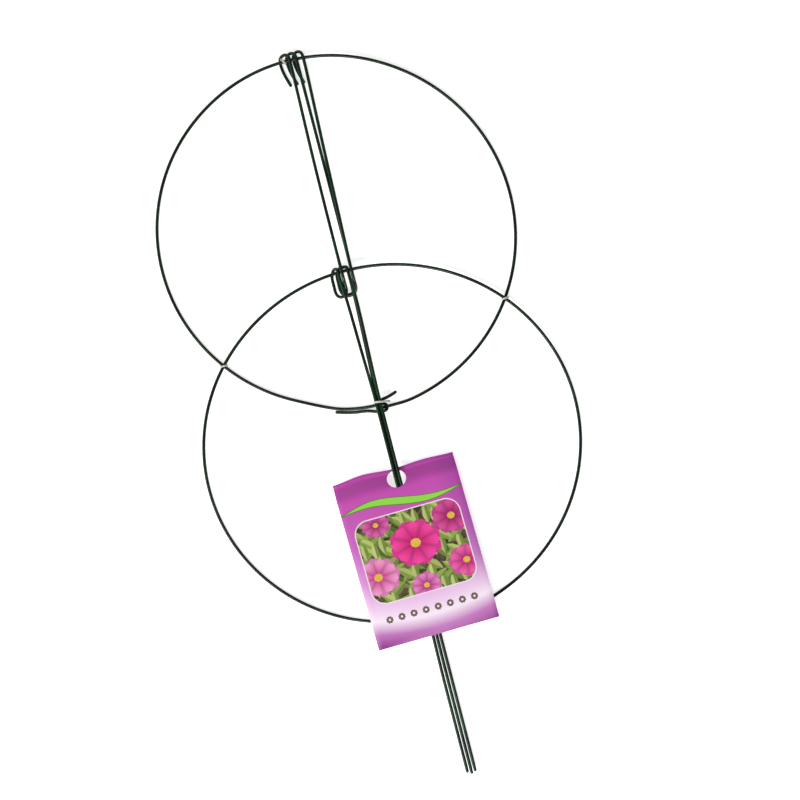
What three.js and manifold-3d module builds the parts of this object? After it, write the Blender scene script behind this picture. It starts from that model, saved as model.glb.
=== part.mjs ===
// Double wire plant support, folded flat: two hoops, three legs, four ties and a hang tag.
// Millimetres, +Z up. The legs run along Y with their tips towards -Y, and the whole lies on Z = 0.
// While it is being built, Y = 0 is the upper hoop's wire inside the crooks and X = 0 is the legs' line.

import * as THREE from 'three';
import { mergeVertices } from 'three/addons/utils/BufferGeometryUtils.js';
import Module from 'manifold-3d';

const wasm = await Module();
wasm.setup();

// Wire
const wireDiameter = 4.2;
const touchGap = 0.3;
const wireRadius = wireDiameter / 2;
const layer = wireDiameter + touchGap;
const groundZ = wireRadius;
const secondZ = groundZ + layer;

// Hoops: each is one open wire, a little out of round, with one end sprung further out than the other
const upperHoopDiameter = 442.2;
const upperHoopSqueeze = 2.3;
const upperHoopSpread = 12.8;
const upperHoopOffset = -0.1;
const upperSqueezeTurnShare = 0.115;
const lowerHoopDiameter = 457.4;
const lowerHoopSqueeze = 5.75;
const lowerHoopSpread = 5.9;
const lowerHoopOffset = 3.5;
const lowerSqueezeTurnShare = 0.0086;

// Each hoop is flat round its crooks, then drops to what it lies on: turns from its top, as shares of a turn
const flatTurnShare = 0.025;
const settledTurnShare = 0.11;
const leaveTurnShare = 0.16;
const groundedTurnShare = 0.28;

// Clasp: the hoop's ends are bent back into two hooks that catch each other
const claspBendRadius = 4.6;
const claspReach = 12.6;
const claspOffset = 4.5;
const claspDrop = 1.8;
const claspLead = 290;
const leftReturnLength = 60;
const leftReturnSpacing = 4.6;
const rightReturnLength = 24;
const rightReturnLift = 6;
const leftArcEndShare = 0.43;
const rightArcEndShare = 0.472;
const claspRunShares = [0.34, 0.67, 1];
const claspBendShare = 0.42;
const claspNeckShare = 0.45;
const claspFootShare = 0.12;

// Legs: crooks on the upper hoop, eyes on the lower hoop, then one bundle to the tips
const loopDrop = 270.2;
const legDrop = 912.8;
const leftHookX = 0.6;
const middleHookX = 9.1;
const rightHookX = 17.6;
const leftLoopX = -2.2;
const middleLoopX = 10;
const rightLoopX = 10;
const leftLoopWidth = 14;
const middleLoopWidth = 19.7;
const rightLoopWidth = 19.7;
const leftBow = -0.9;
const leftExitX = -4.9;
const middleExitX = 5.5;
const rightExitX = 7;
const hookWidth = 12.4;
const hookHeight = 6.5;
const hookRise = 1.5;
const hookBackRoom = 0.9;
const hookTailLength = 31.7;
const hookTailSlant = 6.2;
const hookTailBendShare = 0.25;
const hookTailTopShare = 0.2;
const strandStep = 4.45;
const loopLength = 31;
const loopBackRoom = 0.6;
const rightLoopShort = 1;
const leftRunRise = 4;
const tipStraight = 20;
const tipPitch = 4.9;
const tipX = -0.8;
const leftLegShort = 2.7;
const rightLegShort = 1.9;
const bundleX = 1.2;
const bundleHalf = 2.5;

// How an eye's wire goes: shares of its fall that are done at the start of its lower turn, shares of that
// turn in which it falls the rest, and its way back over the hoop as width, layer and climb shares
const eyeFallShares = [0.16, 0.6];
const narrowDiveShare = 0.5;
const narrowSinkShares = [0.6, 1];
const narrowClimbShares = [
  [0, -1.3, 0],
  [0.08, -0.55, 0],
  [0.25, 0.3, 0.03],
  [0.46, 0.92, 0.27],
  [0.7, 1.08, 0.58],
  [0.86, 0.98, 0.76],
  [0.95, 0.65, 0.91],
  [1, 0.2, 0.985],
  [1, -0.35, 1],
];
const earlyDiveShare = 0.6;
const earlySinkShares = [0, 0.45];
const lateDiveShare = 0.46;
const lateSinkShares = [0, 0.6];
const lateClimbShares = [
  [0, -1.3, 0],
  [0.05, -0.5, 0],
  [0.16, 0.1, 0],
  [0.3, 0.6, 0.07],
  [0.42, 0.85, 0.18],
  [0.55, 1, 0.33],
  [0.68, 1.03, 0.47],
  [0.81, 1.06, 0.63],
  [0.92, 0.99, 0.77],
  [0.98, 0.72, 0.92],
  [1, 0.25, 1],
  [1, -0.35, 1],
];
const earlyClimbShares = [
  [0, -1.3, 0],
  [0.05, -0.5, 0],
  [0.14, 0.2, 0.01],
  [0.25, 0.8, 0.13],
  [0.38, 1, 0.28],
  [0.52, 1.05, 0.45],
  [0.66, 1.08, 0.62],
  [0.77, 1, 0.8],
  [0.87, 0.8, 0.92],
  [0.95, 0.42, 0.98],
  [0.99, 0.05, 1],
  [1, -0.4, 1],
];

// Shares of a leg: its places down the upper run, and along the lower run
const runShares = [0.4, 0.62, 0.75, 0.86];
const midwayShare = 0.45;
const loweredShare = 0.8;
const levelShare = 1.2;

// Ties: flat bands
const tieWidth = 2.6;
const tieThickness = 1;
const hookTieLeanDegrees = 34;
const hookTieSlack = 0.15;
const claspTieX = 15.5;
const claspTieLift = 1;
const claspTieSkew = 3.4;
const tieShoulderShare = 0.72;
const tieCrownShare = 0.3;

// Hang tag
const tagWidth = 154.5;
const tagHeight = 211;
const tagThickness = 0.6;
const tagHoleWidth = 24;
const tagHoleHeight = 21;
const tagStrip = 2.4;
const tagHoleShift = 1.5;
const tagTop = 522.6;
const tagShift = -2.3;
const tagLeanDegrees = 1.5;
const tagEaseLength = 9;
const tagRampShare = 0.15;

// Facets
const wireSides = 8;
const tieSides = 8;
const pathSteps = 2;
const arcSteps = 44;
const bendSteps = 4;
const hookTieSteps = 16;
const holeSides = 40;
const tagSteps = 24;

const vinylColour = 0x1d3a22;
const tieColour = 0xe4e8da;
const tagColour = 0xb85a9c;

const vinyl = () => new THREE.MeshStandardMaterial({ color: vinylColour, roughness: 0.32, metalness: 0 });
const pale = () => new THREE.MeshStandardMaterial({ color: tieColour, roughness: 0.55, metalness: 0 });
const card = () => new THREE.MeshStandardMaterial({ color: tagColour, roughness: 0.45, metalness: 0 });

const group = new THREE.Group();
const at = (x, y, z) => new THREE.Vector3(x, y, z);
const fullTurn = 2 * Math.PI;

// A path whose parameter runs evenly over its own points, so that close points follow tight bends
class WirePath extends THREE.Curve {
  constructor(points) {
    super();
    this.points = points;
  }

  getUtoTmapping(u) {
    return u;
  }

  getPoint(t) {
    const last = this.points.length - 1;
    const place = THREE.MathUtils.clamp(t, 0, 1) * last;
    const index = Math.min(Math.round(place), last);
    return this.points[index].clone();
  }

  getTangent(t) {
    const last = this.points.length - 1;
    const index = Math.min(Math.round(THREE.MathUtils.clamp(t, 0, 1) * last), last);
    const here = this.points[index];
    const tangent = at(0, 0, 0);
    if (index > 0) tangent.add(here.clone().sub(this.points[index - 1]).normalize());
    if (index < last) tangent.add(this.points[index + 1].clone().sub(here).normalize());
    return tangent.normalize();
  }
}

// The corners of an oval section, its wide side turned by an angle
function section(halfWidth, halfThickness, sides, turn = 0) {
  const corners = [];
  for (let i = 0; i < sides; i++) {
    const angle = ((i + 0.5) * fullTurn) / sides;
    const corner = new THREE.Vector2(halfWidth * Math.cos(angle), halfThickness * Math.sin(angle));
    corners.push(corner.rotateAround(new THREE.Vector2(), turn));
  }
  return corners;
}

// A bar of that section along a smooth curve through the given places
function bar(name, places, corners, material) {
  const curve = new THREE.CatmullRomCurve3(places, false, 'centripetal');
  const points = curve.getPoints((places.length - 1) * pathSteps);
  const geometry = new THREE.ExtrudeGeometry(new THREE.Shape(corners), {
    steps: points.length - 1,
    bevelEnabled: false,
    extrudePath: new WirePath(points),
  });
  const mesh = new THREE.Mesh(geometry, material);
  mesh.name = name;
  group.add(mesh);
  return mesh;
}

const wire = (name, places) => bar(name, places, section(wireRadius, wireRadius, wireSides), vinyl());

// A tie starts straight up, and lies flat across the wires that it passes
function tie(name, places, wideX, wideY) {
  const turn = Math.atan2(wideX, -wideY);
  return bar(name, places, section(tieWidth / 2, tieThickness / 2, tieSides, turn), pale());
}

// Points round a bend, from one angle to another, both in radians
function bend(centre, radiusX, radiusY, from, to, heightAt) {
  const places = [];
  for (let i = 0; i <= bendSteps; i++) {
    const share = i / bendSteps;
    const angle = from + (to - from) * share;
    places.push(
      at(centre.x + radiusX * Math.cos(angle), centre.y + radiusY * Math.sin(angle), heightAt(share)),
    );
  }
  return places;
}

// Heights of the wires in the crooks and eyes
const hookBackZ = groundZ;
const upperHoopTopZ = hookBackZ + layer + hookBackRoom;
const hookFrontZ = upperHoopTopZ + layer;
const lowerHoopTopZ = secondZ + layer + loopBackRoom;
const loopFrontZ = lowerHoopTopZ + layer;
const bundleZ = secondZ + layer;
const bundleLift = Math.sqrt(layer * layer - bundleHalf * bundleHalf);

const upperHoop = {
  name: 'upper_hoop',
  diameter: upperHoopDiameter,
  squeeze: upperHoopSqueeze,
  squeezeTurn: upperSqueezeTurnShare * fullTurn,
  spread: upperHoopSpread,
  offset: upperHoopOffset,
  topY: 0,
  topZ: upperHoopTopZ,
  restZ: groundZ,
};

const lowerHoop = {
  name: 'lower_hoop',
  diameter: lowerHoopDiameter,
  squeeze: lowerHoopSqueeze,
  squeezeTurn: lowerSqueezeTurnShare * fullTurn,
  spread: lowerHoopSpread,
  offset: lowerHoopOffset,
  topY: -loopDrop,
  topZ: lowerHoopTopZ,
  restZ: secondZ,
};

// The hoop's radius at an angle from its top, clockwise
function hoopRadius(hoop, angle) {
  const squeeze = hoop.squeeze * Math.cos(2 * (angle - hoop.squeezeTurn));
  return hoop.diameter / 2 - squeeze + ((hoop.spread / 2) * angle) / Math.PI;
}

const hoopCentreY = (hoop) => hoop.topY - hoopRadius(hoop, 0);

// The hoop is highest in the crooks, and its far side lies on the ground
function hoopHeight(hoop, angle) {
  const turn = Math.abs(angle) / fullTurn;
  const first = THREE.MathUtils.smoothstep(turn, flatTurnShare, settledTurnShare);
  const second = THREE.MathUtils.smoothstep(turn, leaveTurnShare, groundedTurnShare);
  return hoop.topZ + (hoop.restZ - hoop.topZ) * first + (groundZ - hoop.restZ) * second;
}

function hoopPlace(hoop, angle, outward = 0) {
  const radius = hoopRadius(hoop, angle) + outward;
  return at(
    hoop.offset + radius * Math.sin(angle),
    hoopCentreY(hoop) + radius * Math.cos(angle),
    hoopHeight(hoop, angle),
  );
}

const hoopFarY = (hoop) => hoopCentreY(hoop) - (hoopRadius(hoop, Math.PI) + hoopRadius(hoop, -Math.PI)) / 2;
const claspY = (hoop) => hoopFarY(hoop) - claspDrop + claspBendRadius / 2;

// The two hooks of the clasp. Each starts low, rises inside the other's bend and ends high over its wire
function claspPlaces(hoop) {
  const from = (x, y, z) => at(claspOffset + x, hoopFarY(hoop) - claspDrop + y, z);
  const rise = (share) => groundZ + layer * share;
  const size = 2 * claspBendRadius;
  const turn = claspReach / 2 - claspBendRadius;
  const bendRise = (share) => {
    return rise(THREE.MathUtils.lerp(claspBendShare, 1, Math.sin(Math.min(share, 1 / 2) * Math.PI)));
  };
  const backTo = (share) => turn - leftReturnLength * share;

  const hook = (centre, start, heightAt) => {
    return bend(centre, claspBendRadius, claspBendRadius, start, Math.PI / 2, heightAt);
  };

  const leftY = claspBendRadius / 2;
  const neckX = turn - size;
  const mainY = (x) => leftY + (neckX - x) ** 2 / claspLead;
  const left = [];
  for (let i = bendSteps; i > 0; i--) {
    const x = backTo(THREE.MathUtils.lerp(claspRunShares[0], 1, (i - 1) / (bendSteps - 1)));
    left.push(from(x, mainY(x) - leftReturnSpacing, groundZ));
  }
  left.push(
    from(neckX, leftY - size + claspBendRadius / 4, rise(claspNeckShare)),
    ...hook(from(turn, leftY - claspBendRadius, 0), -Math.PI / 2, (share) => bendRise(1 - share)),
    from(turn - claspBendRadius, leftY, rise(claspFootShare)),
    ...[neckX, ...claspRunShares.map(backTo)].map((x) => from(x, mainY(x), groundZ)),
  );

  const rightY = leftY - claspBendRadius;
  const right = [
    from(2 * size - turn, rightY, groundZ),
    from(size - turn, rightY, groundZ),
    from(claspBendRadius - turn, rightY, rise(claspFootShare)),
    ...hook(from(-turn, rightY + claspBendRadius, 0), Math.PI + Math.PI / 2, bendRise),
    from(rightReturnLength / 2 - turn, rightY + size + rightReturnLift / 3, secondZ),
    from(rightReturnLength - turn, rightY + size + rightReturnLift, secondZ),
  ];
  return { left, right };
}

function addHoop(hoop) {
  const { left, right } = claspPlaces(hoop);
  const places = [...left];
  const start = -leftArcEndShare * fullTurn;
  const end = rightArcEndShare * fullTurn;
  for (let i = 0; i <= arcSteps; i++) {
    places.push(hoopPlace(hoop, start + ((end - start) * i) / arcSteps));
  }
  places.push(...right);
  wire(hoop.name, places);
}

// Where the legs gather, at the upper hoop's clasp
const gatherY = claspY(upperHoop) + claspTieLift;

// One leg: the crook's tail, the crook, the upper run, the eye, and the lower run to the tip
function addLeg(leg) {
  const { hookX, loopX, frontZ, backZ } = leg;
  const runZ = frontZ + leg.runRise;
  const hookDepth = hookFrontZ - hookBackZ;
  const tail = [
    at(hookX - hookWidth + hookTailSlant, -hookTailLength, hookBackZ),
    at(hookX - hookWidth + hookTailSlant * hookTailBendShare, -hookTailLength / 2, hookBackZ),
    at(hookX - hookWidth, -hookTailLength * hookTailTopShare, hookBackZ),
  ];
  const rising = (share) => hookBackZ + hookDepth * THREE.MathUtils.smoothstep(share, 0, 1);
  const crookCentre = at(hookX - hookWidth / 2, hookRise, 0);
  const crook = bend(crookCentre, hookWidth / 2, hookHeight, Math.PI, 0, rising);
  const upper = [at(hookX, -layer, hookFrontZ), at(hookX, -hookTailLength / 2, hookFrontZ)];
  for (const share of runShares) {
    const x = THREE.MathUtils.lerp(hookX, loopX, share) + leg.bow * Math.sin(share * Math.PI);
    const risen = Math.min(1, share / runShares.at(-1));
    upper.push(at(x, -share * loopDrop, THREE.MathUtils.lerp(hookFrontZ, runZ, risen)));
  }

  const loopY = (y) => -loopDrop + y;
  const turn = leg.loopWidth / 2;
  const turnY = -leg.loopLength + loopLength / 4;
  const backX = loopX - leg.loopWidth;
  const exitX = loopX - strandStep;
  const turnZ = THREE.MathUtils.lerp(frontZ, backZ, leg.diveShare);
  const sinking = (share) => {
    return THREE.MathUtils.lerp(turnZ, backZ, THREE.MathUtils.smoothstep(share, ...leg.sinkShares));
  };
  const climb = leg.climbShares.map(([across, up, climbed]) => {
    const x = THREE.MathUtils.lerp(backX, exitX, across);
    return at(x, loopY(up * layer), THREE.MathUtils.lerp(backZ, frontZ, climbed));
  });
  const eye = [
    at(loopX, loopY(layer), runZ),
    at(loopX, loopY(0), runZ),
    at(loopX, loopY(turnY / 3), THREE.MathUtils.lerp(runZ, turnZ, eyeFallShares[0])),
    at(loopX, loopY((2 * turnY) / 3), THREE.MathUtils.lerp(runZ, turnZ, eyeFallShares[1])),
    ...bend(at(loopX - turn, loopY(turnY), 0), turn, loopLength / 4, 0, -Math.PI, sinking),
    at(backX, loopY((2 * turnY) / 3), backZ),
    ...climb,
    at(exitX, loopY(turnY / 2), frontZ),
    at(leg.exitX, loopY(turnY - loopLength / 3), frontZ),
  ];

  const tipY = leg.short - legDrop;
  const nearX = bundleX + leg.bundleSide * bundleHalf;
  const endX = tipX + leg.bundleSide * tipPitch;
  const nearZ = bundleZ + leg.lift;
  const holeY = -tagTop - tagHoleHeight;
  const midwayX = THREE.MathUtils.lerp(leg.exitX, nearX, midwayShare);
  const lower = [
    at(midwayX, (loopY(turnY) + gatherY) / 2, (frontZ + nearZ) / 2),
    at(nearX, gatherY + 2 * layer, nearZ),
    at(nearX, gatherY - layer, nearZ),
    at(nearX, holeY, nearZ),
    at(nearX, holeY - 2 * layer, nearZ),
    at((nearX + endX) / 2, holeY - tagHeight / 2, bundleZ + loweredShare * leg.lift),
    at(endX, -tagTop - levelShare * tagHeight, bundleZ),
    at(endX, tipY + 4 * tipStraight, bundleZ),
    at(endX, tipY + tipStraight, bundleZ),
    at(endX, tipY, bundleZ),
  ];
  wire(leg.name, [...tail, ...crook, ...upper, ...eye, ...lower]);
}

// Where the lower hoop's wire lies over the upper hoop's, on one side of the legs
function hoopCrossing(side) {
  const beyond = (turn) => {
    const place = hoopPlace(lowerHoop, side * turn * fullTurn);
    const dx = place.x - upperHoop.offset;
    const dy = place.y - hoopCentreY(upperHoop);
    return Math.hypot(dx, dy) - hoopRadius(upperHoop, Math.atan2(dx, dy));
  };
  let inside = settledTurnShare;
  let outside = leaveTurnShare;
  while (outside - inside > Number.EPSILON * 8) {
    const middle = (inside + outside) / 2;
    if (beyond(middle) < 0) inside = middle;
    else outside = middle;
  }
  return side * inside * fullTurn;
}

// Unit direction along a hoop, in plan, at the place nearest to a point
function hoopDirection(hoop, place) {
  const angle = Math.atan2(place.x - hoop.offset, place.y - hoopCentreY(hoop));
  const step = 1 / 100;
  const before = hoopPlace(hoop, angle - step);
  const after = hoopPlace(hoop, angle + step);
  return new THREE.Vector2(after.x - before.x, after.y - before.y).normalize();
}

// A tie bridges a crossing from one side to the other and is open underneath
function addCrossingTie(name, side) {
  const place = hoopPlace(lowerHoop, hoopCrossing(side));
  const first = hoopDirection(upperHoop, place);
  const second = hoopDirection(lowerHoop, place);
  const sum = first.clone().add(second).normalize();
  const difference = first.clone().sub(second).normalize();
  const along = Math.abs(sum.x) > Math.abs(difference.x) ? sum : difference;
  const halfAngle = Math.acos(Math.min(1, Math.abs(along.dot(first))));
  const half = tieThickness / 2;
  const reach = wireRadius / Math.sin(halfAngle) + touchGap + 2 * half + tieWidth / 4;
  const top = secondZ + wireRadius + touchGap + half;
  const foot = half + touchGap;
  const from = (share, z) => at(place.x + along.x * reach * share, place.y + along.y * reach * share, z);
  const places = [
    from(-1, foot),
    from(-1, secondZ),
    from(-tieShoulderShare, top - half),
    from(-tieCrownShare, top + touchGap),
    from(tieCrownShare, top + touchGap),
    from(tieShoulderShare, top - half),
    from(1, secondZ),
    from(1, foot),
  ];
  tie(name, places, -along.y, along.x);
}

// The tie inside the left leg's crook is a small ring round the upper hoop's wire, leaning over
function addHookTie() {
  const lean = THREE.MathUtils.degToRad(hookTieLeanDegrees);
  const inner = wireRadius / Math.cos(lean) + (tieWidth / 2) * Math.tan(lean) + touchGap + hookTieSlack;
  const shape = new THREE.TorusGeometry(inner + tieThickness / 2, tieThickness / 2, tieSides, hookTieSteps);
  shape.scale(1, 1, tieWidth / tieThickness);
  const ring = new THREE.Mesh(shape, pale());
  ring.name = 'hook_tie';
  ring.rotation.set(0, Math.PI / 2, lean, 'ZYX');
  const tailX = (leftHookX + middleHookX) / 2 - hookWidth;
  ring.position.set(tailX, 0, upperHoopTopZ);
  group.add(ring);
}

// The tie at the clasp lies over the three legs and comes down between the right hook's strands
function addClaspTie() {
  const reach = wireRadius + 2 * touchGap + tieThickness / 2;
  const beside = bundleHalf + reach;
  const legZ = bundleZ + bundleLift;
  const eighth = reach * Math.SQRT1_2;
  const from = (x, z) => {
    const share = (x - bundleX + beside) / (claspTieX - bundleX + beside);
    return at(x, claspTieSkew * (1 - share) + gatherY, z);
  };
  const places = [
    from(bundleX - beside, groundZ),
    from(bundleX - beside, bundleZ),
    from(bundleX - beside, legZ),
    from(bundleX - bundleHalf - eighth, legZ + eighth),
    from(bundleX - bundleHalf, legZ + reach),
    from(bundleX, legZ + reach),
    from(bundleX + bundleHalf, legZ + reach),
    from(bundleX + bundleHalf + eighth, legZ + eighth),
    from((bundleX + beside + claspTieX) / 2, bundleZ + wireRadius),
    from(claspTieX, bundleZ - wireRadius),
    from(claspTieX, groundZ),
  ];
  tie('clasp_tie', places, 0, 1);
}

// A closed solid for cutting, from any closed geometry
function solidOf(geometry) {
  const bare = geometry.clone();
  bare.deleteAttribute('normal');
  bare.deleteAttribute('uv');
  const merged = mergeVertices(bare);
  return new wasm.Manifold(
    new wasm.Mesh({
      numProp: 3,
      vertProperties: new Float32Array(merged.attributes.position.array),
      triVerts: new Uint32Array(merged.index.array),
    }),
  );
}

function geometryOf(solid) {
  const mesh = solid.getMesh();
  const geometry = new THREE.BufferGeometry();
  geometry.setAttribute('position', new THREE.BufferAttribute(mesh.vertProperties, 3));
  geometry.setIndex(new THREE.BufferAttribute(mesh.triVerts, 1));
  return geometry;
}

// The card passes under the legs at its top edge, rises through its hole and lies over them
function addTag() {
  const under = bundleZ - wireRadius - touchGap - tagThickness;
  const over = bundleZ + bundleLift + wireRadius + touchGap;
  const holeEnd = tagStrip + tagHoleHeight;
  const ramp = tagRampShare * tagHoleHeight;
  const spine = new THREE.CatmullRomCurve3(
    [
      at(0, 0, under - tagThickness),
      at(0, -tagStrip, under),
      at(0, -tagStrip - ramp, under),
      at(0, -tagStrip - tagHoleHeight / 2, (under + over) / 2),
      at(0, -holeEnd + ramp, over),
      at(0, -holeEnd - tagEaseLength, over + tagThickness),
      at(0, -(holeEnd + tagHeight) / 2, over + tagThickness),
      at(0, -tagHeight, over + tagThickness),
    ],
    false,
    'centripetal',
  ).getPoints(tagSteps);
  const outline = new THREE.Shape();
  spine.forEach((point, i) => (i ? outline.lineTo(point.y, point.z) : outline.moveTo(point.y, point.z)));
  [...spine].reverse().forEach((point) => outline.lineTo(point.y, point.z + tagThickness));
  const ribbon = new THREE.ExtrudeGeometry(outline, { depth: tagWidth, bevelEnabled: false, steps: 1 });
  ribbon.applyMatrix4(new THREE.Matrix4().makeBasis(at(0, 1, 0), at(0, 0, 1), at(1, 0, 0)));
  ribbon.translate(-tagWidth / 2, 0, 0);

  const punch = new THREE.CylinderGeometry(tagHoleWidth / 2, tagHoleWidth / 2, tagWidth, holeSides);
  punch.rotateX(Math.PI / 2);
  punch.scale(1, tagHoleHeight / tagHoleWidth, 1);
  punch.translate(tagHoleShift, -tagStrip - tagHoleHeight / 2, 0);

  const mesh = new THREE.Mesh(geometryOf(solidOf(ribbon).subtract(solidOf(punch))), card());
  mesh.name = 'tag';
  mesh.position.set(tagShift, -tagTop, 0);
  mesh.rotation.z = THREE.MathUtils.degToRad(tagLeanDegrees);
  group.add(mesh);
}

// The middle leg is the lowest of the bundle, and its eye lies right under the right leg's
const leftEye = {
  diveShare: narrowDiveShare,
  sinkShares: narrowSinkShares,
  climbShares: narrowClimbShares,
  runRise: leftRunRise,
};
const middleEye = {
  diveShare: earlyDiveShare,
  sinkShares: earlySinkShares,
  climbShares: lateClimbShares,
  runRise: 0,
};
const rightEye = {
  diveShare: lateDiveShare,
  sinkShares: lateSinkShares,
  climbShares: earlyClimbShares,
  runRise: 0,
};

addHoop(upperHoop);
addHoop(lowerHoop);
addLeg({
  name: 'left_leg',
  hookX: leftHookX,
  loopX: leftLoopX,
  bow: leftBow,
  loopWidth: leftLoopWidth,
  loopLength,
  frontZ: loopFrontZ,
  backZ: secondZ,
  ...leftEye,
  exitX: leftExitX,
  bundleSide: -1,
  lift: bundleLift,
  short: leftLegShort,
});
addLeg({
  name: 'middle_leg',
  hookX: middleHookX,
  loopX: middleLoopX,
  bow: 0,
  loopWidth: middleLoopWidth,
  loopLength,
  frontZ: loopFrontZ,
  backZ: groundZ,
  ...middleEye,
  exitX: middleExitX,
  bundleSide: 0,
  lift: 0,
  short: 0,
});
addLeg({
  name: 'right_leg',
  hookX: rightHookX,
  loopX: rightLoopX,
  bow: 0,
  loopWidth: rightLoopWidth,
  loopLength: loopLength - rightLoopShort,
  frontZ: loopFrontZ + layer,
  backZ: secondZ,
  ...rightEye,
  exitX: rightExitX,
  bundleSide: 1,
  lift: bundleLift,
  short: rightLegShort,
});
addHookTie();
addClaspTie();
addCrossingTie('left_crossing_tie', -1);
addCrossingTie('right_crossing_tie', 1);
addTag();

// The origin is the middle of the ground that the part covers
group.updateMatrixWorld(true);
const box = new THREE.Box3().setFromObject(group, true);
group.position.set(-(box.min.x + box.max.x) / 2, -(box.min.y + box.max.y) / 2, -box.min.z);

export default group;
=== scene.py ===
"""Double wire plant support, folded flat, with its hang tag and four ties, on a plain white floor."""

import logging
import math
from dataclasses import dataclass
from enum import Enum
from typing import Iterable, Union

import bmesh
import bpy
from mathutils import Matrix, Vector


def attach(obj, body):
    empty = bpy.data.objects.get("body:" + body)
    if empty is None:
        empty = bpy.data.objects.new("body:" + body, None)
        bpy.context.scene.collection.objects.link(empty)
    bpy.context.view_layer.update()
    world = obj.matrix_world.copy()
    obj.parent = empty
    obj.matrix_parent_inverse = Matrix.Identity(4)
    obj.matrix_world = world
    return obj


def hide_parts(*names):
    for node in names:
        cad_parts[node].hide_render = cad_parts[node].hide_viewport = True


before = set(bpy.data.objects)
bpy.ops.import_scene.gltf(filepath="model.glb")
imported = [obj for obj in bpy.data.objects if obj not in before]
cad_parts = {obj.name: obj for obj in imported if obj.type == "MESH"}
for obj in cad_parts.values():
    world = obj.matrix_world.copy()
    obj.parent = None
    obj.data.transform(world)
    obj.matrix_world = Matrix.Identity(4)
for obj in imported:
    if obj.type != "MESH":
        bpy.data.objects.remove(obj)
log = logging.getLogger("plant_support")

MM = 0.001
WIRE_RADIUS = 2.1 * MM
CARD_WIDTH = 154.5
CARD_HEIGHT = 211.0
MERGE_DISTANCE = 0.002 * MM

Rise = tuple[float, float]
Place = tuple[float, float, float]


class Slot(Enum):
    """The record's material slots."""

    HOOP = "hoop_vinyl"
    LEG = "leg_vinyl"
    TIE = "tie_plastic"
    CARD = "tag_card"


class Grid(Enum):
    """The coordinates that a pattern can lie on."""

    OBJECT = "Object"
    UV = "UV"
    SKY = "Generated"


def linear(code: int) -> tuple[float, float, float, float]:
    """Turn a written colour into scene colour, by the standard curve of screens.

    Args:
        code: the colour as 0xRRGGBB.

    Returns:
        Red, green and blue in linear light, and an alpha of one.
    """
    parts = [(code >> shift & 255) / 255 for shift in (16, 8, 0)]
    light = [c / 12.92 if c <= 0.04045 else ((c + 0.055) / 1.055) ** 2.4 for c in parts]
    return light[0], light[1], light[2], 1.0


class Signal:
    """A socket of a shader, on which sums are written as Python expressions."""

    def __init__(self, shading: "Shading", socket: bpy.types.NodeSocket) -> None:
        """Keep the shading and its socket."""
        self.shading = shading
        self.socket = socket

    def other(self, output: Union[int, str]) -> "Signal":
        """Return another output of the same node."""
        return Signal(self.shading, self.socket.node.outputs[output])

    def math(self, operation: str, *values: "Level") -> "Signal":
        """Add a Math node.

        Args:
            operation: the node's operation.
            values: what follows this signal on the node's sockets.

        Returns:
            The node's result.
        """
        sockets = dict(enumerate((self, *values)))
        return self.shading.node("ShaderNodeMath", {"operation": operation}, sockets)

    def __add__(self, other: "Level") -> "Signal":
        """Return the sum."""
        return self.math("ADD", other)

    def __sub__(self, other: "Level") -> "Signal":
        """Return the difference."""
        return self.math("SUBTRACT", other)

    def __rsub__(self, other: float) -> "Signal":
        """Return a number less this signal."""
        return self.math("MULTIPLY", -1.0).math("ADD", other)

    def __mul__(self, other: "Level") -> "Signal":
        """Return the product."""
        return self.math("MULTIPLY", other)

    def __truediv__(self, other: "Level") -> "Signal":
        """Return the quotient."""
        return self.math("DIVIDE", other)

    def __pow__(self, other: "Level") -> "Signal":
        """Return the power."""
        return self.math("POWER", other)

    def __abs__(self) -> "Signal":
        """Return the size without its sign."""
        return self.math("ABSOLUTE")

    __radd__ = __add__
    __rmul__ = __mul__

    def over(self, level: "Level", softness: float) -> "Signal":
        """Return a mask that rises smoothly from 0 to 1 about a level.

        Args:
            level: where the mask is a half.
            softness: how wide the rise is.

        Returns:
            The mask.
        """
        share = ((self - level) / softness + 0.5).math("MAXIMUM", 0.0).math("MINIMUM", 1.0)
        return share * share * (3.0 - 2.0 * share)


Level = Union[Signal, float]
Colour = Union[Signal, int]


def length(dx: Signal, dy: Signal) -> Signal:
    """Return how far a point lies from a middle."""
    return (dx * dx + dy * dy).math("SQRT")


@dataclass(frozen=True)
class Pattern:
    """A cloudy pattern: how fine it is, how many layers it has and how strong the fine ones are."""

    scale: float
    detail: float = 2.0
    rough: float = 0.5


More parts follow.
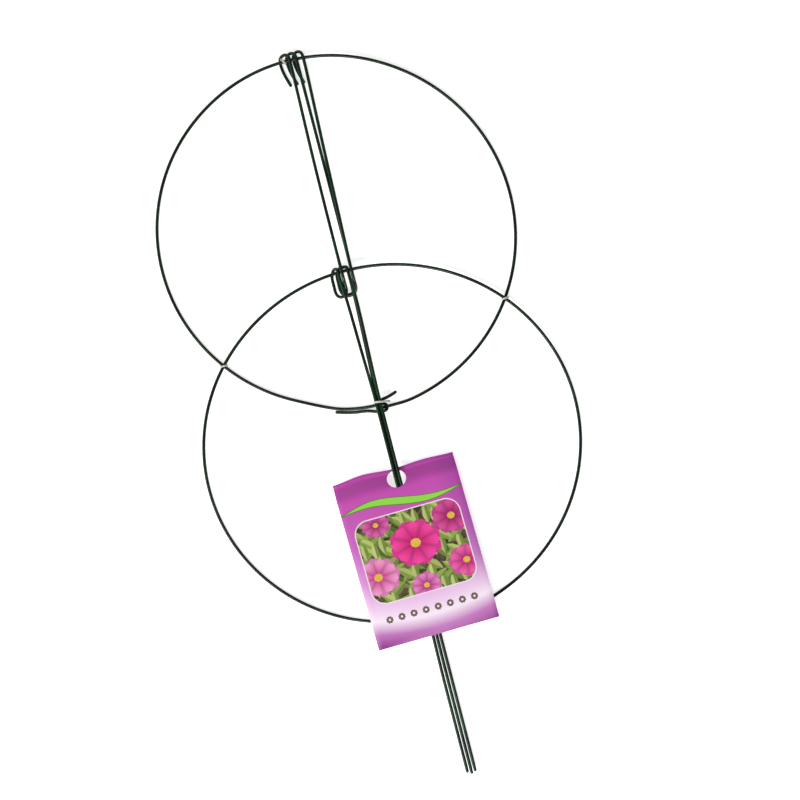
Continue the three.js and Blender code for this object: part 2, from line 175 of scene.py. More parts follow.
class Shading:
    """The nodes of a material or of the world while they are laid."""

    def __init__(self, tree: bpy.types.NodeTree, shader: bpy.types.Node) -> None:
        """Keep the tree and the shader that the signals feed."""
        self.tree = tree
        self.shader = shader

    def node(self, kind: str, settings: dict, sockets: dict, output: Union[int, str] = 0) -> Signal:
        """Add a node.

        Args:
            kind: the node's type.
            settings: its own settings, set first; a ramp's stops under "stops".
            sockets: values or signals by socket name or number.
            output: the name or number of the socket to return.

        Returns:
            The wanted output.
        """
        made = self.tree.nodes.new(kind)
        for key, value in settings.items():
            if key == "stops":
                self._fill_ramp(made, value)
            else:
                setattr(made, key, value)
        for key, value in sockets.items():
            if isinstance(value, Signal):
                self.tree.links.new(value.socket, made.inputs[key])
            else:
                made.inputs[key].default_value = value
        return Signal(self, made.outputs[output])

    @staticmethod
    def _fill_ramp(ramp: bpy.types.Node, stops: tuple[tuple[float, int], ...]) -> None:
        """Set a ramp's stops.

        Args:
            ramp: the ramp's node.
            stops: place and written colour of each stop.
        """
        elements = ramp.color_ramp.elements
        while len(elements) < len(stops):
            elements.new(0.5)
        for element, (place, code) in zip(elements, stops):
            element.position = place
            element.color = linear(code)

    def constant(self, **values: object) -> None:
        """Set values that are the same all over, on the shader's own sockets.

        Args:
            values: a value for each socket, its name written with underscores.
        """
        for name, value in values.items():
            socket = name.replace("_", " ").title().replace("Ior", "IOR")
            self.shader.inputs[socket].default_value = value

    def feed(self, socket: str, signal: Signal) -> None:
        """Link a signal to one of the shader's sockets."""
        self.tree.links.new(signal.socket, self.shader.inputs[socket])

    def mix(self, factor: Level, first: Colour, second: Colour) -> Signal:
        """Blend two colours.

        Args:
            factor: 0 gives the first colour and 1 the second.
            first: a signal or a written colour.
            second: a signal or a written colour.

        Returns:
            The blended colour.
        """
        first, second = (linear(c) if isinstance(c, int) else c for c in (first, second))
        settings = {"data_type": "RGBA", "clamp_factor": True}
        return self.node("ShaderNodeMix", settings, {0: factor, 6: first, 7: second}, 2)

    def place(self, grid: Grid = Grid.OBJECT) -> Signal:
        """Return the coordinates that a pattern lies on."""
        return self.node("ShaderNodeTexCoord", {}, {}, grid.value)

    def split(self, vector: Signal) -> tuple[Signal, Signal, Signal]:
        """Return a vector's three parts."""
        first = self.node("ShaderNodeSeparateXYZ", {}, {0: vector})
        return first, first.other(1), first.other(2)

    def noise(self, where: Signal, pattern: Pattern) -> Signal:
        """Lay a cloudy pattern.

        Args:
            where: the coordinates that it lies on.
            pattern: the pattern.

        Returns:
            Its level, about one half.
        """
        sockets = {
            "Vector": where,
            "Scale": pattern.scale,
            "Detail": pattern.detail,
            "Roughness": pattern.rough,
        }
        return self.node("ShaderNodeTexNoise", {}, sockets)

    def bump(self, height: Signal, distance: float, strength: float = 1.0) -> None:
        """Feed a height into the shader's normal."""
        sockets = {"Strength": strength, "Distance": distance, "Height": height}
        self.feed("Normal", self.node("ShaderNodeBump", {}, sockets))


class Surface(Shading):
    """One procedural material while its nodes are laid."""

    def __init__(self, name: str) -> None:
        """Start a material that holds a Principled shader.

        Args:
            name: the material's name.
        """
        self.material = bpy.data.materials.new(name)
        self.material.use_nodes = True
        tree = self.material.node_tree
        tree.nodes.clear()
        super().__init__(tree, tree.nodes.new("ShaderNodeBsdfPrincipled"))
        output = tree.nodes.new("ShaderNodeOutputMaterial")
        tree.links.new(self.shader.outputs["BSDF"], output.inputs["Surface"])


@dataclass(frozen=True)
class Vinyl:
    """Glossy dark green vinyl on a wire: a dipped skin with slight ripples, fine grain and rubbed spots."""

    name: str
    deep: int = 0x0A190C
    bright: int = 0x142F18
    rubbed: int = 0x47604E
    clouds: Pattern = Pattern(30.0, 3.0)
    cloud_rise: Rise = (0.5, 0.4)
    ripples: Pattern = Pattern(380.0)
    grain: Pattern = Pattern(2600.0, 2.0, 0.6)
    grain_share: float = 0.25
    scuffs: Pattern = Pattern(150.0, 5.0, 0.7)
    scuff_rise: Rise = (0.66, 0.1)
    scuff_share: float = 0.3
    roughness: float = 0.17
    ripple_roughness: float = 0.1
    scuff_roughness: float = 0.2
    relief: float = 0.07 * MM
    specular: float = 0.32
    ior: float = 1.5

    def material(self) -> bpy.types.Material:
        """Lay the vinyl.

        Returns:
            Its material.
        """
        s = Surface(self.name)
        where = s.place()
        cloud = s.noise(where, self.clouds)
        ripple = s.noise(where, self.ripples)
        grain = s.noise(where, self.grain)
        scuff = s.noise(where, self.scuffs).over(*self.scuff_rise)
        body = s.mix(cloud.over(*self.cloud_rise), self.deep, self.bright)
        s.feed("Base Color", s.mix(scuff * self.scuff_share, body, self.rubbed))
        uneven = self.roughness + self.ripple_roughness * (ripple - 0.5)
        s.feed("Roughness", uneven + self.scuff_roughness * scuff)
        s.bump(ripple + self.grain_share * grain, self.relief)
        s.constant(specular_ior_level=self.specular, ior=self.ior)
        return s.material


@dataclass(frozen=True)
class TiePlastic:
    """Pale soft plastic of the packing ties: milky and slightly uneven, with grime in patches."""

    name: str
    milk: int = 0xDDE0D2
    shade: int = 0xB9BEAB
    dirt: int = 0x8E917F
    clouds: Pattern = Pattern(260.0, 3.0)
    cloud_rise: Rise = (0.5, 0.6)
    grime: Pattern = Pattern(1100.0, 4.0, 0.65)
    grime_rise: Rise = (0.62, 0.2)
    grime_share: float = 0.3
    grain: Pattern = Pattern(3200.0)
    grain_share: float = 0.3
    roughness: float = 0.42
    cloud_roughness: float = 0.15
    relief: float = 0.15 * MM
    milkiness: float = 0.08
    milk_depth: float = 2.0 * MM

    def material(self) -> bpy.types.Material:
        """Lay the plastic.

        Returns:
            Its material.
        """
        s = Surface(self.name)
        where = s.place()
        cloud = s.noise(where, self.clouds)
        grime = s.noise(where, self.grime).over(*self.grime_rise)
        body = s.mix(cloud.over(*self.cloud_rise), self.shade, self.milk)
        s.feed("Base Color", s.mix(grime * self.grime_share, body, self.dirt))
        s.feed("Roughness", self.roughness + self.cloud_roughness * cloud)
        s.bump(cloud + self.grain_share * s.noise(where, self.grain), self.relief)
        s.constant(subsurface_weight=self.milkiness, subsurface_scale=self.milk_depth)
        return s.material


@dataclass(frozen=True)
class CardStock:
    """Unprinted white card of the tag's back and cut edges, with paper fibre in it."""

    name: str
    dull: int = 0xDEDCD4
    clean: int = 0xEDEBE4
    fibre_tint: int = 0xCFCCC2
    fibres: Pattern = Pattern(1400.0, 5.0, 0.75)
    clouds: Pattern = Pattern(25.0)
    roughness: float = 0.62
    fibre_roughness: float = 0.12
    relief: float = 0.04 * MM

    def material(self) -> bpy.types.Material:
        """Lay the bare card.

        Returns:
            Its material.
        """
        s = Surface(self.name)
        where = s.place()
        fibre = s.noise(where, self.fibres)
        paper = s.mix(s.noise(where, self.clouds), self.dull, self.clean)
        s.feed("Base Color", s.mix(fibre, paper, self.fibre_tint))
        s.feed("Roughness", self.roughness + self.fibre_roughness * fibre)
        s.bump(fibre, self.relief)
        return s.material


class PrintedFace(Surface):
    """The tag's printed face while it is laid: x runs across the card and y up it, in millimetres."""

    edge_softness: float = 0.5

    def __init__(self, name: str) -> None:
        """Start the material and lay the card's coordinates.

        Args:
            name: the material's name.
        """
        super().__init__(name)
        u, v, _ = self.split(self.place(Grid.UV))
        self.x = u * CARD_WIDTH
        self.y = v * CARD_HEIGHT
        self.across = self.x / CARD_WIDTH
        self.up = self.y / CARD_HEIGHT
        self.where = self.flat(self.x, self.y)

    def flat(self, x: Signal, y: Signal) -> Signal:
        """Return two signals as a place for a pattern."""
        return self.node("ShaderNodeCombineXYZ", {}, {0: x, 1: y})

    def box(self, sides: tuple[float, float, float, float], corner: float) -> Signal:
        """Return the mask of a box with round corners.

        Args:
            sides: left, foot, right and top of the box.
            corner: the corners' radius.

        Returns:
            One inside the box and zero outside it.
        """
        left, foot, right, top = sides
        dx = (abs(self.x - (left + right) / 2) - ((right - left) / 2 - corner)).math("MAXIMUM", 0.0)
        dy = (abs(self.y - (foot + top) / 2) - ((top - foot) / 2 - corner)).math("MAXIMUM", 0.0)
        return 1.0 - length(dx, dy).over(corner, self.edge_softness)


@dataclass(frozen=True)
class Petals:
    """How each flower of the print is cut: a ring of broad petals with a finely notched rim."""

    count: int = 8
    valley: float = 0.7
    broadness: float = 0.4
    notch: float = 0.016
    notches: float = 3.0
    softness: float = 0.06

    def ring(self, dx: Signal, dy: Signal, radius: float, turn: float) -> tuple[Signal, Signal, Signal]:
        """Return one ring of petals.

        Args:
            dx: millimetres right of the flower's middle.
            dy: millimetres above it.
            radius: the ring's reach.
            turn: the ring's turn, in radians.

        Returns:
            The ring's mask, how far out each point lies, and how near it is to its petal's middle line.
        """
        angle = dy.math("ARCTAN2", dx) + turn
        spread = abs((angle * (self.count / 2)).math("COSINE"))
        notch = self.notch * (angle * (self.count * self.notches)).math("COSINE")
        reach = self.valley + (1.0 - self.valley) * spread ** self.broadness + notch
        out = length(dx, dy) / radius / reach
        return 1.0 - out.over(1.0, self.softness), out, spread


@dataclass(frozen=True)
class Bloom:
    """One open flower of the print: its place and size in millimetres of the card, and its two pinks."""

    x: float
    y: float
    radius: float
    turn: float
    inner: int
    rim: int
    petals: Petals = Petals()
    squash: float = 1.14
    rays: float = 46.0
    ray_turn: float = 5.0
    ray_base: float = 0.14
    ray_share: float = 0.1
    blush_rise: Rise = (0.55, 0.9)
    front_size: float = 0.9
    back_shade: float = 0.34
    crease: int = 0x6E0C48
    crease_share: float = 0.7
    crease_width: float = 0.5
    heart_rise: Rise = (0.19, 0.03)
    seeds: Pattern = Pattern(1.3)
    seed_rise: Rise = (0.5, 0.2)
    seed_dark: int = 0xC98A1E
    seed_light: int = 0xF6DC5A

    def lay(self, s: PrintedFace, picture: Signal) -> Signal:
        """Lay the bloom over the picture: a shaded ring of petals, a ring in front of it and the heart.

        Args:
            s: the printed face.
            picture: the colour so far.

        Returns:
            The colour with the bloom on it.
        """
        dx = s.x - self.x
        dy = self.squash * (s.y - self.y)
        rays = (dy.math("ARCTAN2", dx) * self.rays + self.ray_turn * self.turn).math("SINE")
        back_turn = self.turn + math.pi / self.petals.count
        for size, turn, shade in ((1.0, back_turn, self.back_shade), (self.front_size, self.turn, 0.0)):
            mask, out, spread = self.petals.ring(dx, dy, self.radius * size, turn)
            tone = s.mix(out.over(*self.blush_rise), self.inner, self.rim)
            tone = s.mix(self.ray_base + self.ray_share * rays, tone, self.inner)
            crease = (1.0 - spread ** self.crease_width) * self.crease_share
            tone = s.mix(crease + shade, tone, self.crease)
            picture = s.mix(mask, picture, tone)
        seeds = s.noise(s.where, self.seeds).over(*self.seed_rise)
        heart = 1.0 - (length(dx, dy) / self.radius).over(*self.heart_rise)
        return s.mix(heart, picture, s.mix(seeds, self.seed_dark, self.seed_light))


@dataclass(frozen=True)
class LeafLayer:
    """One layer of leaves: its turn in radians, the leaves' pitch in millimetres and their two greens."""

    turn: float
    pitch: float
    shade: int
    light: int


@dataclass(frozen=True)
class Foliage:
    """Leaves that lie over each other on dark soil, the lightest on top."""

    soil: Pattern = Pattern(0.09, 3.0)
    soil_rise: Rise = (0.5, 0.2)
    soil_dark: int = 0x2C3517
    soil_light: int = 0x5A4630
    layers: tuple[LeafLayer, ...] = (
        LeafLayer(2.4, 31.0, 0x4E6128, 0x71853A),
        LeafLayer(0.6, 27.0, 0x6F8A3C, 0x9DB052),
        LeafLayer(-0.7, 25.0, 0x8FA648, 0xC6D272),
        LeafLayer(1.6, 22.0, 0x7C9440, 0xD2DA86),
    )
    slimness: float = 0.5
    scatter: float = 0.7
    half_width: float = 0.4
    taper: float = 1.5
    thinnest: float = 0.01
    rim_softness: float = 0.2
    grown_rise: Rise = (0.42, 0.05)
    fold_rise: Rise = (0.0, 0.1)
    old_leaf: int = 0x55702C
    old_share: float = 0.4
    vein_rise: Rise = (0.06, 0.06)
    vein_share: float = 0.5
    vein_light: int = 0xDDE39A
    side_vein: float = 0.1
    side_veins: float = 40.0
    side_vein_slant: float = 25.0

    def lay(self, s: PrintedFace) -> Signal:
        """Lay soil and leaves.

        Args:
            s: the printed face.

        Returns:
            Their colour.
        """
        picture = s.mix(s.noise(s.where, self.soil).over(*self.soil_rise), self.soil_dark, self.soil_light)
        for layer in self.layers:
            picture = self._lay_layer(s, picture, layer)
        return picture

    def _lay_layer(self, s: PrintedFace, picture: Signal, layer: LeafLayer) -> Signal:
        """Lay one layer of leaves, each about the middle of a cell.

        Args:
            s: the printed face.
            picture: the colour so far.
            layer: the layer.

        Returns:
            The colour with the layer on it.
        """
        cos, sin = math.cos(layer.turn), math.sin(layer.turn)
        u = (cos * s.x + sin * s.y) / layer.pitch
        v = (cos * s.y - sin * s.x) / (self.slimness * layer.pitch)
        sockets = {"Vector": s.flat(u, v), "Scale": 1.0, "Randomness": self.scatter}
        centre = s.node("ShaderNodeTexVoronoi", {"voronoi_dimensions": "2D"}, sockets, "Position")
        chance = s.node("ShaderNodeSeparateColor", {}, {0: centre.other("Color")})
        middle_u, middle_v, _ = s.split(centre)
        du, dv = u - middle_u, v - middle_v
        span = (self.half_width - self.taper * du * du).math("MAXIMUM", self.thinnest)
        leaf = (1.0 - (abs(dv) / span).over(1.0, self.rim_softness)) * chance.over(*self.grown_rise)
        comb = abs((du * self.side_veins + abs(dv) * self.side_vein_slant).math("SINE"))
        vein = 1.0 - (abs(dv) + self.side_vein * comb).over(*self.vein_rise)
        tone = s.mix(dv.over(*self.fold_rise), layer.shade, layer.light)
        tone = s.mix(chance * self.old_share, tone, self.old_leaf)
        return s.mix(leaf, picture, s.mix(vein * self.vein_share, tone, self.vein_light))


@dataclass(frozen=True)
class Ground:
    """The print's ground: purple at its foot, a pale band above it, then purple again to the top."""

    stops: tuple[tuple[float, int], ...] = (
        (0.02, 0x96348E),
        (0.09, 0xC274BC),
        (0.17, 0xFAEAF8),
        (0.24, 0xF2D0EF),
        (0.4, 0xDC94D6),
        (0.62, 0xCB68C0),
        (0.86, 0xC953B4),
        (1.0, 0xC048AE),
    )
    swell: float = 0.05
    swell_turn: float = 3.0
    dusk: int = 0x7E2C8C
    dusk_share: float = 0.45
    dusk_across_rise: Rise = (0.9, 0.3)
    dusk_up_rise: Rise = (0.3, 0.3)

    def lay(self, s: PrintedFace) -> Signal:
        """Lay the ground, darker along its right edge.

        Args:
            s: the printed face.

        Returns:
            Its colour.
        """
        rise = s.up + self.swell * (s.across * self.swell_turn).math("SINE")
        face = s.node("ShaderNodeValToRGB", {"stops": self.stops}, {0: rise})
        side = s.across.over(*self.dusk_across_rise) * self.dusk_share
        return s.mix(side * rise.over(*self.dusk_up_rise), face, self.dusk)


@dataclass(frozen=True)
class Window:
    """The rounded window that holds the print's picture, with a pale line round it."""

    left: float = 11.0
    foot: float = 54.0
    right: float = 143.5
    top: float = 158.0
    corner: float = 17.0
    line: float = 1.3
    line_colour: int = 0xF4E6F2

    def lay(self, s: PrintedFace, face: Signal, picture: Signal) -> Signal:
        """Lay the line and the picture over the ground.

        Args:
            s: the printed face.
            face: the colour so far.
            picture: the picture.

        Returns:
            The colour with the window on it.
        """
        rim = (self.left - self.line, self.foot - self.line, self.right + self.line, self.top + self.line)
        face = s.mix(s.box(rim, self.corner + self.line), face, self.line_colour)
        inside = s.box((self.left, self.foot, self.right, self.top), self.corner)
        return s.mix(inside, face, picture)


@dataclass(frozen=True)
class Wave:
    """The green wave above the window, pointed at both ends and lined in dark green."""

    height: float = 171.0
    swing: float = 5.0
    half_width: float = 4.6
    line_reach: float = 0.7
    fill_reach: float = -0.3
    softness: float = 0.5
    line_colour: int = 0x4E7A22
    fill_colour: int = 0x93DB4B

    def lay(self, s: PrintedFace, face: Signal) -> Signal:
        """Lay the wave.

        Args:
            s: the printed face.
            face: the colour so far.

        Returns:
            The colour with the wave on it.
        """
        middle = self.height + self.swing * (s.across * math.tau).math("SINE")
        half = self.half_width * (s.across * math.pi).math("SINE")
        outside = abs(s.y - middle) - half
        for reach, colour in ((self.line_reach, self.line_colour), (self.fill_reach, self.fill_colour)):
            face = s.mix(1.0 - outside.over(reach, self.softness), face, colour)
        return face


@dataclass(frozen=True)
class FlowerRow:
    """The row of small brown flower rings under the window."""

    petals: Petals = Petals()
    count: int = 8
    pitch: float = 15.5
    height: float = 33.0
    radius: float = 4.6
    turn: float = 0.4
    half_band: float = 6.0
    band_corner: float = 1.0
    hole_rise: Rise = (0.34, 0.08)
    hole_colour: int = 0xF4E6F2
    ink: int = 0x6C5A50

    def lay(self, s: PrintedFace, face: Signal) -> Signal:
        """Lay the row.

        Args:
            s: the printed face.
            face: the colour so far.

        Returns:
            The colour with the row on it.
        """
        repeat = ((s.x / self.pitch).math("FRACT") - 0.5) * self.pitch
        mask, out, _ = self.petals.ring(repeat, s.y - self.height, self.radius, self.turn)
        band = (
            self.pitch,
            self.height - self.half_band,
            (self.count + 1) * self.pitch,
            self.height + self.half_band,
        )
        ring = s.mix(out.over(*self.hole_rise), self.hole_colour, self.ink)
        return s.mix(mask * s.box(band, self.band_corner), face, ring)


@dataclass(frozen=True)
class CardPrint:
    """Semi-gloss print on the tag's face: open garden blooms in a rounded window, and no lettering."""

    name: str
    ground: Ground = Ground()
    foliage: Foliage = Foliage()
    blooms: tuple[Bloom, ...] = (
        Bloom(38.0, 150.0, 18.0, 0.2, 0xA8246E, 0xE66CB6),
        Bloom(131.0, 137.0, 25.0, 0.9, 0xA01860, 0xE454A6),
        Bloom(79.0, 62.0, 19.0, 1.4, 0xB83284, 0xF08CCA),
        Bloom(135.0, 79.0, 23.0, 0.5, 0xC01C76, 0xF868B4),
        Bloom(24.0, 87.0, 28.0, 1.1, 0xD04494, 0xFAA2D4),
        Bloom(80.0, 116.0, 33.0, 0.1, 0xC8146C, 0xFF48A8),
    )
    window: Window = Window()
    wave: Wave = Wave()
    row: FlowerRow = FlowerRow()
    grain: Pattern = Pattern(3.2)
    wear: Pattern = Pattern(0.5, 4.0, 0.7)
    wear_rise: Rise = (0.7, 0.08)
    wear_share: float = 0.1
    wear_colour: int = 0xFFFFFF
    roughness: float = 0.34
    grain_roughness: float = 0.1
    wear_roughness: float = 0.1
    warp: Pattern = Pattern(0.03)
    grain_share: float = 0.02
    relief: float = 0.6 * MM
    relief_strength: float = 0.5
    specular: float = 0.4

    def material(self) -> bpy.types.Material:
        """Lay the print.

        Returns:
            Its material.
        """
        s = PrintedFace(self.name)
        picture = self.foliage.lay(s)
        for bloom in self.blooms:
            picture = bloom.lay(s, picture)
        face = self.window.lay(s, self.ground.lay(s), picture)
        face = self.row.lay(s, self.wave.lay(s, face))
        grain = s.noise(s.where, self.grain)
        worn = s.noise(s.where, self.wear).over(*self.wear_rise)
        s.feed("Base Color", s.mix(worn * self.wear_share, face, self.wear_colour))
        s.feed("Roughness", self.roughness + self.grain_roughness * grain + self.wear_roughness * worn)
        relief = s.noise(s.where, self.warp) + self.grain_share * grain
        s.bump(relief, self.relief, self.relief_strength)
        s.constant(specular_ior_level=self.specular)
        return s.material


@dataclass(frozen=True)
class FloorPaint:
    """Plain white floor that keeps the object's shadow."""

    name: str
    white: int = 0xFFFFFF
    dull: int = 0xFAFAFA
    unlit: int = 0x000000
    clouds: Pattern = Pattern(3.0)
    lift: float = 0.68

    def material(self) -> bpy.types.Material:
        """Lay the floor's white, lifted where the camera or a reflection sees it.

        Returns:
            Its material.
        """
        s = Surface(self.name)
        s.feed("Base Color", s.mix(s.noise(s.place(), self.clouds), self.dull, self.white))
        seen = s.node("ShaderNodeLightPath", {}, {}, "Is Camera Ray")
        glint = seen.other("Is Glossy Ray")
        s.feed("Emission Color", s.mix((seen + glint) * self.lift, self.unlit, self.white))
        s.constant(roughness=1.0, specular_ior_level=0.0, emission_strength=1.0)
        return s.material


class Sky(Shading):
    """The studio round the scene: a pale wall on the left, dark on the right and overhead."""

    def __init__(self, name: str, ceiling: float, walls: float, middle: float, side: float) -> None:
        """Build the world.

        Args:
            name: the world's name.
            ceiling: its level overhead.
            walls: how much brighter the walls are.
            middle: the share of it that the walls ahead and behind get.
            side: what the left wall gets more than them, and the right wall less.
        """
        self.world = bpy.data.worlds.new(name)
        self.world.use_nodes = True
        tree = self.world.node_tree
        super().__init__(tree, tree.nodes["Background"])
        right, _, height = self.split(self.place(Grid.SKY))
        self.feed("Strength", ceiling + walls * (1.0 - abs(height)) * (middle - side * right))
        self.constant(color=(1.0, 1.0, 1.0, 1.0))


def dress(piece: bpy.types.Object, body: str, slot: Slot, *materials: bpy.types.Material) -> None:
    """Give a finished piece its materials and its body.

    Args:
        piece: the piece.
        body: the CAD body that it rides on.
        slot: the record's slot of its finish; not used.
        materials: its materials, in the order of its faces' numbers.
    """
    piece.data.materials.clear()
    for material in materials:
        piece.data.materials.append(material)
    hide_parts(piece.name.removesuffix("_skin"))
    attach(piece, body)
    log.info("%s rides on %s, %d faces", piece.name, body, len(piece.data.polygons))


def copied(node: str) -> bmesh.types.BMesh:
    """Take a merged copy of a CAD node's mesh.

    Args:
        node: the node's name.

    Returns:
        The copy, its doubles merged.
    """
    mesh = bmesh.new()
    mesh.from_mesh(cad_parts[node].data)
    bmesh.ops.remove_doubles(mesh, verts=mesh.verts, dist=MERGE_DISTANCE)
    return mesh


def round_over(mesh: bmesh.types.BMesh, edges: list[bmesh.types.BMEdge], size: float, segments: int) -> None:
    """Round edges over.

    Args:
        mesh: the mesh.
        edges: the edges.
        size: how far back from each edge the rounding starts.
        segments: how many faces lie across it.
    """
    bmesh.ops.bevel(
        mesh,
        geom=edges,
        offset=size,
        affect="EDGES",
        segments=segments,
        profile=0.5,
        material=-1,
    )


def placed(mesh: bmesh.types.BMesh, name: str, smooth: bool) -> bpy.types.Object:
    """Make an object of a finished mesh.

    Args:
        mesh: the mesh, which is freed.
        name: the object's name.
        smooth: whether its faces are shaded as one round surface.

    Returns:
        The object, at the origin.
    """
    for face in mesh.faces:
        face.smooth = smooth
    data = bpy.data.meshes.new(name)
    mesh.to_mesh(data)
    mesh.free()
    piece = bpy.data.objects.new(name, data)
    bpy.context.scene.collection.objects.link(piece)
    return piece


@dataclass
class RoundBar:
    """A bent bar dressed over its CAD node: rounder, and with its skin drawn over both ends."""

    node: str
    radius: float
    rounding_share: float = 0.105
    cap: float = 1.7 * MM
    cap_segments: int = 3
    levels: int = 2
    rim_degrees: float = 68.0
    fewest_side_faces: int = 20
    quad_degrees: float = 60.0

    def _end_faces(self, mesh: bmesh.types.BMesh) -> list[bmesh.types.BMFace]:
        """Make each cut end one face. An end is a small patch of faces inside a sharp rim.

        Args:
            mesh: the bar's mesh.

        Returns:
            The end faces.
        """
        rims = {edge for edge in mesh.edges if edge.calc_face_angle(0.0) > math.radians(self.rim_degrees)}
        seen: set[bmesh.types.BMFace] = set()
        ends = []
        for start in [face for face in mesh.faces if not rims.isdisjoint(face.edges)]:
            if start in seen:
                continue
            patch = [start]
            for face in patch:
                if len(patch) < self.fewest_side_faces:
                    inner = [edge for edge in face.edges if edge not in rims]
                    near = dict.fromkeys(other for edge in inner for other in edge.link_faces)
                    patch.extend(other for other in near if other not in patch)
            seen.update(patch)
            if len(patch) < self.fewest_side_faces:
                made = bmesh.ops.dissolve_faces(mesh, faces=patch, use_verts=False)
                ends.extend(made["region"])
        return ends

    def build(self) -> bpy.types.Object:
        """Make the bar's skin.

        Returns:
            The piece.
        """
        mesh = copied(self.node)
        ends = self._end_faces(mesh)
        bmesh.ops.join_triangles(
            mesh,
            faces=[face for face in mesh.faces if face not in ends],
            angle_face_threshold=math.radians(self.quad_degrees),
            angle_shape_threshold=math.pi,
        )
        mesh.normal_update()
        for vert in mesh.verts:
            outward = sum((face.normal for face in vert.link_faces if face not in ends), Vector())
            vert.co += outward.normalized() * self.rounding_share * self.radius
        rim = [edge for face in ends for edge in face.edges]
        round_over(mesh, rim, self.cap, self.cap_segments)
        piece = placed(mesh, self.node + "_skin", True)
        subdivision = piece.modifiers.new("rounding", "SUBSURF")
        subdivision.levels = subdivision.render_levels = self.levels
        graph = bpy.context.evaluated_depsgraph_get()
        piece.data = bpy.data.meshes.new_from_object(piece.evaluated_get(graph))
        piece.modifiers.clear()
        return piece


@dataclass
class Hoops:
    """The two wire hoops with the hooks of their clasps."""

    radius: float = WIRE_RADIUS

    def build(self, skin: bpy.types.Material) -> None:
        """Make and dress both hoops.

        Args:
            skin: the vinyl.
        """
        for node in ("upper_hoop", "lower_hoop"):
            dress(RoundBar(node, self.radius).build(), node, Slot.HOOP, skin)


@dataclass
class Legs:
    """The three wire legs, each with its crook, its eye and its run to the tip."""

    radius: float = WIRE_RADIUS

    def build(self, skin: bpy.types.Material) -> None:
        """Make and dress the legs.

        Args:
            skin: the vinyl.
        """
        for node in ("left_leg", "middle_leg", "right_leg"):
            dress(RoundBar(node, self.radius).build(), node, Slot.LEG, skin)


@dataclass
class Ties:
    """The four packing ties, which are flat bands."""

    half_thickness: float = 0.5 * MM
    cap: float = 0.2 * MM

    def build(self, plastic: bpy.types.Material) -> None:
        """Make and dress the ties.

        Args:
            plastic: the ties' plastic.
        """
        bodies = {
            "hook_tie": "upper_hoop",
            "clasp_tie": "middle_leg",
            "left_crossing_tie": "lower_hoop",
            "right_crossing_tie": "lower_hoop",
        }
        for node, body in bodies.items():
            band = RoundBar(node, self.half_thickness, cap=self.cap)
            dress(band.build(), body, Slot.TIE, plastic)


@dataclass
class HangTag:
    """The printed card with its round hole, hung on the legs."""

    lean_degrees: float = 1.5
    width: float = CARD_WIDTH * MM
    height: float = CARD_HEIGHT * MM
    edge: float = 0.12 * MM
    edge_segments: int = 2
    edge_degrees: float = 50.0
    strips: int = 24
    lift: float = 1.6 * MM
    foot_lift_share: float = 0.3
    left_arch: float = 3.1 * MM
    right_arch: float = 1.6 * MM
    arch_start: float = 0.8
    least_upward: float = 0.5

    def _bow(self, x: float, y: float) -> tuple[float, float]:
        """Work out how a point of the flat card moves as the card bows.

        Args:
            x: its share of the way across the card.
            y: its share of the way up.

        Returns:
            How far it moves up the card, and how far it rises off it.
        """
        side = 2.0 * x - 1.0
        arch = self.left_arch if side < 0.0 else self.right_arch
        near_top = max(0.0, (y - self.arch_start) / (1.0 - self.arch_start))
        lift_share = self.foot_lift_share + (1.0 - self.foot_lift_share) * y
        return arch * near_top * math.sin(math.pi * side) ** 2, self.lift * side * side * lift_share

    def _shape(self, mesh: bmesh.types.BMesh) -> None:
        """Lay the print's coordinates flat over the card, then bow it.

        Args:
            mesh: the card's mesh.
        """
        lean = math.radians(self.lean_degrees)
        across = Vector((math.cos(lean), math.sin(lean), 0.0))
        along = Vector((-math.sin(lean), math.cos(lean), 0.0))
        left = min(vert.co.dot(across) for vert in mesh.verts)
        foot = min(vert.co.dot(along) for vert in mesh.verts)
        for i in range(1, self.strips):
            bmesh.ops.bisect_plane(
                mesh,
                geom=[*mesh.verts, *mesh.edges, *mesh.faces],
                plane_co=across * (left + self.width * i / self.strips),
                plane_no=across,
            )
        layer = mesh.loops.layers.uv.new("print")
        spots = {}
        for vert in mesh.verts:
            x = (vert.co.dot(across) - left) / self.width
            spots[vert] = (x, (vert.co.dot(along) - foot) / self.height)
        for face in mesh.faces:
            for loop in face.loops:
                loop[layer].uv = spots[loop.vert]
        for vert, (x, y) in spots.items():
            up, rise = self._bow(x, y)
            vert.co += along * up
            vert.co.z += rise

    def build(self, printed: bpy.types.Material, stock: bpy.types.Material) -> None:
        """Make and dress the card.

        Args:
            printed: the printed face.
            stock: the card's back and edges.
        """
        mesh = copied("tag")
        sharpest = math.radians(self.edge_degrees)
        edges = [edge for edge in mesh.edges if edge.calc_face_angle(0.0) > sharpest]
        round_over(mesh, edges, self.edge, self.edge_segments)
        self._shape(mesh)
        mesh.normal_update()
        for face in mesh.faces:
            face.material_index = 0 if face.normal.z > self.least_upward else 1
        piece = placed(mesh, "tag_skin", True)
        # The rounded edges replace the sharp marks that come with the CAD mesh.
        for edge in piece.data.edges:
            edge.use_edge_sharp = False
        dress(piece, "hang_tag", Slot.CARD, printed, stock)


@dataclass(frozen=True)
class SoftLamp:
    """One soft lamp: where it hangs, what it faces, its two sides in metres and its power in watts."""

    name: str
    place: Place
    target: Place
    sides: tuple[float, float]
    power: float

    def hang(self) -> None:
        """Hang the lamp."""
        data = bpy.data.lights.new(self.name, "AREA")
        data.shape = "RECTANGLE"
        data.size, data.size_y = self.sides
        data.energy = self.power
        lamp = bpy.data.objects.new(self.name, data)
        lamp.location = self.place
        aim = Vector(self.target) - Vector(self.place)
        lamp.rotation_euler = aim.to_track_quat("-Z", "Y").to_euler()
        bpy.context.scene.collection.objects.link(lamp)


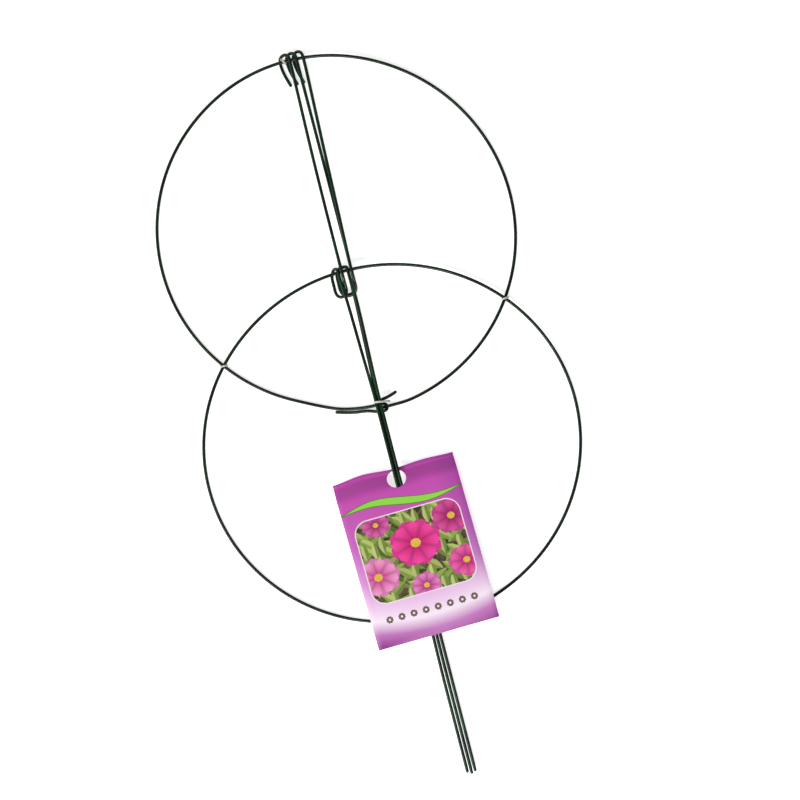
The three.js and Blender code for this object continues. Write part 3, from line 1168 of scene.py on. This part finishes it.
@dataclass
class Studio:
    """The white floor, the two soft lamps, the walls and the camera over the flat support.

    The camera sees frame_width metres at the height of level.
    """

    reach: float = 30.0
    floor_gap: float = 0.5 * MM
    lamps: tuple[SoftLamp, ...] = (
        SoftLamp("side_lamp", (-1.4, -0.75, 1.6), (0.0, -0.1, 0.0), (1.3, 0.5), 23.0),
        SoftLamp("foot_lamp", (-0.35, -1.35, 1.6), (0.0, 0.0, 0.0), (0.7, 0.5), 17.0),
    )
    ceiling: float = 0.09
    walls: float = 1.25
    wall_middle: float = 0.55
    wall_side: float = 0.45
    lens: float = 85.0
    sensor: float = 36.0
    frame_width: float = 0.992
    roll_degrees: float = -14.43
    centre: tuple[float, float] = (0.0231, 0.0092)
    level: float = 8.0 * MM

    def _floor(self) -> None:
        """Lay the floor just under the support."""
        mesh = bmesh.new()
        bmesh.ops.create_grid(mesh, x_segments=1, y_segments=1, size=self.reach)
        bmesh.ops.translate(mesh, verts=mesh.verts, vec=(0.0, 0.0, -self.floor_gap))
        floor = placed(mesh, "floor", False)
        floor.data.materials.append(FloorPaint("floor_white").material())

    def _camera(self) -> None:
        """Hang the camera straight over the support, rolled as in the picture."""
        data = bpy.data.cameras.new("camera")
        data.lens = self.lens
        data.sensor_width = self.sensor
        camera = bpy.data.objects.new("camera", data)
        distance = self.frame_width * self.lens / self.sensor
        camera.location = (*self.centre, self.level + distance)
        camera.rotation_euler = (0.0, 0.0, math.radians(self.roll_degrees))
        bpy.context.scene.collection.objects.link(camera)
        bpy.context.scene.camera = camera

    def build(self) -> None:
        """Set up floor, lamps, world and camera."""
        self._floor()
        for lamp in self.lamps:
            lamp.hang()
        sky = Sky("studio", self.ceiling, self.walls, self.wall_middle, self.wall_side)
        bpy.context.scene.world = sky.world
        bpy.context.scene.view_settings.view_transform = "Standard"
        self._camera()
        log.info("studio set")


def main() -> None:
    """Build the support, its card and ties, and the studio round them."""
    logging.basicConfig(level=logging.INFO, format="%(name)s: %(message)s")
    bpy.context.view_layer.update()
    Hoops().build(Vinyl("hoop_vinyl").material())
    Legs().build(Vinyl("leg_vinyl", deep=0x081C0E, bright=0x12361E).material())
    Ties().build(TiePlastic("tie_plastic").material())
    HangTag().build(CardPrint("card_print").material(), CardStock("card_stock").material())
    Studio().build()


if __name__ == "__main__":
    main()
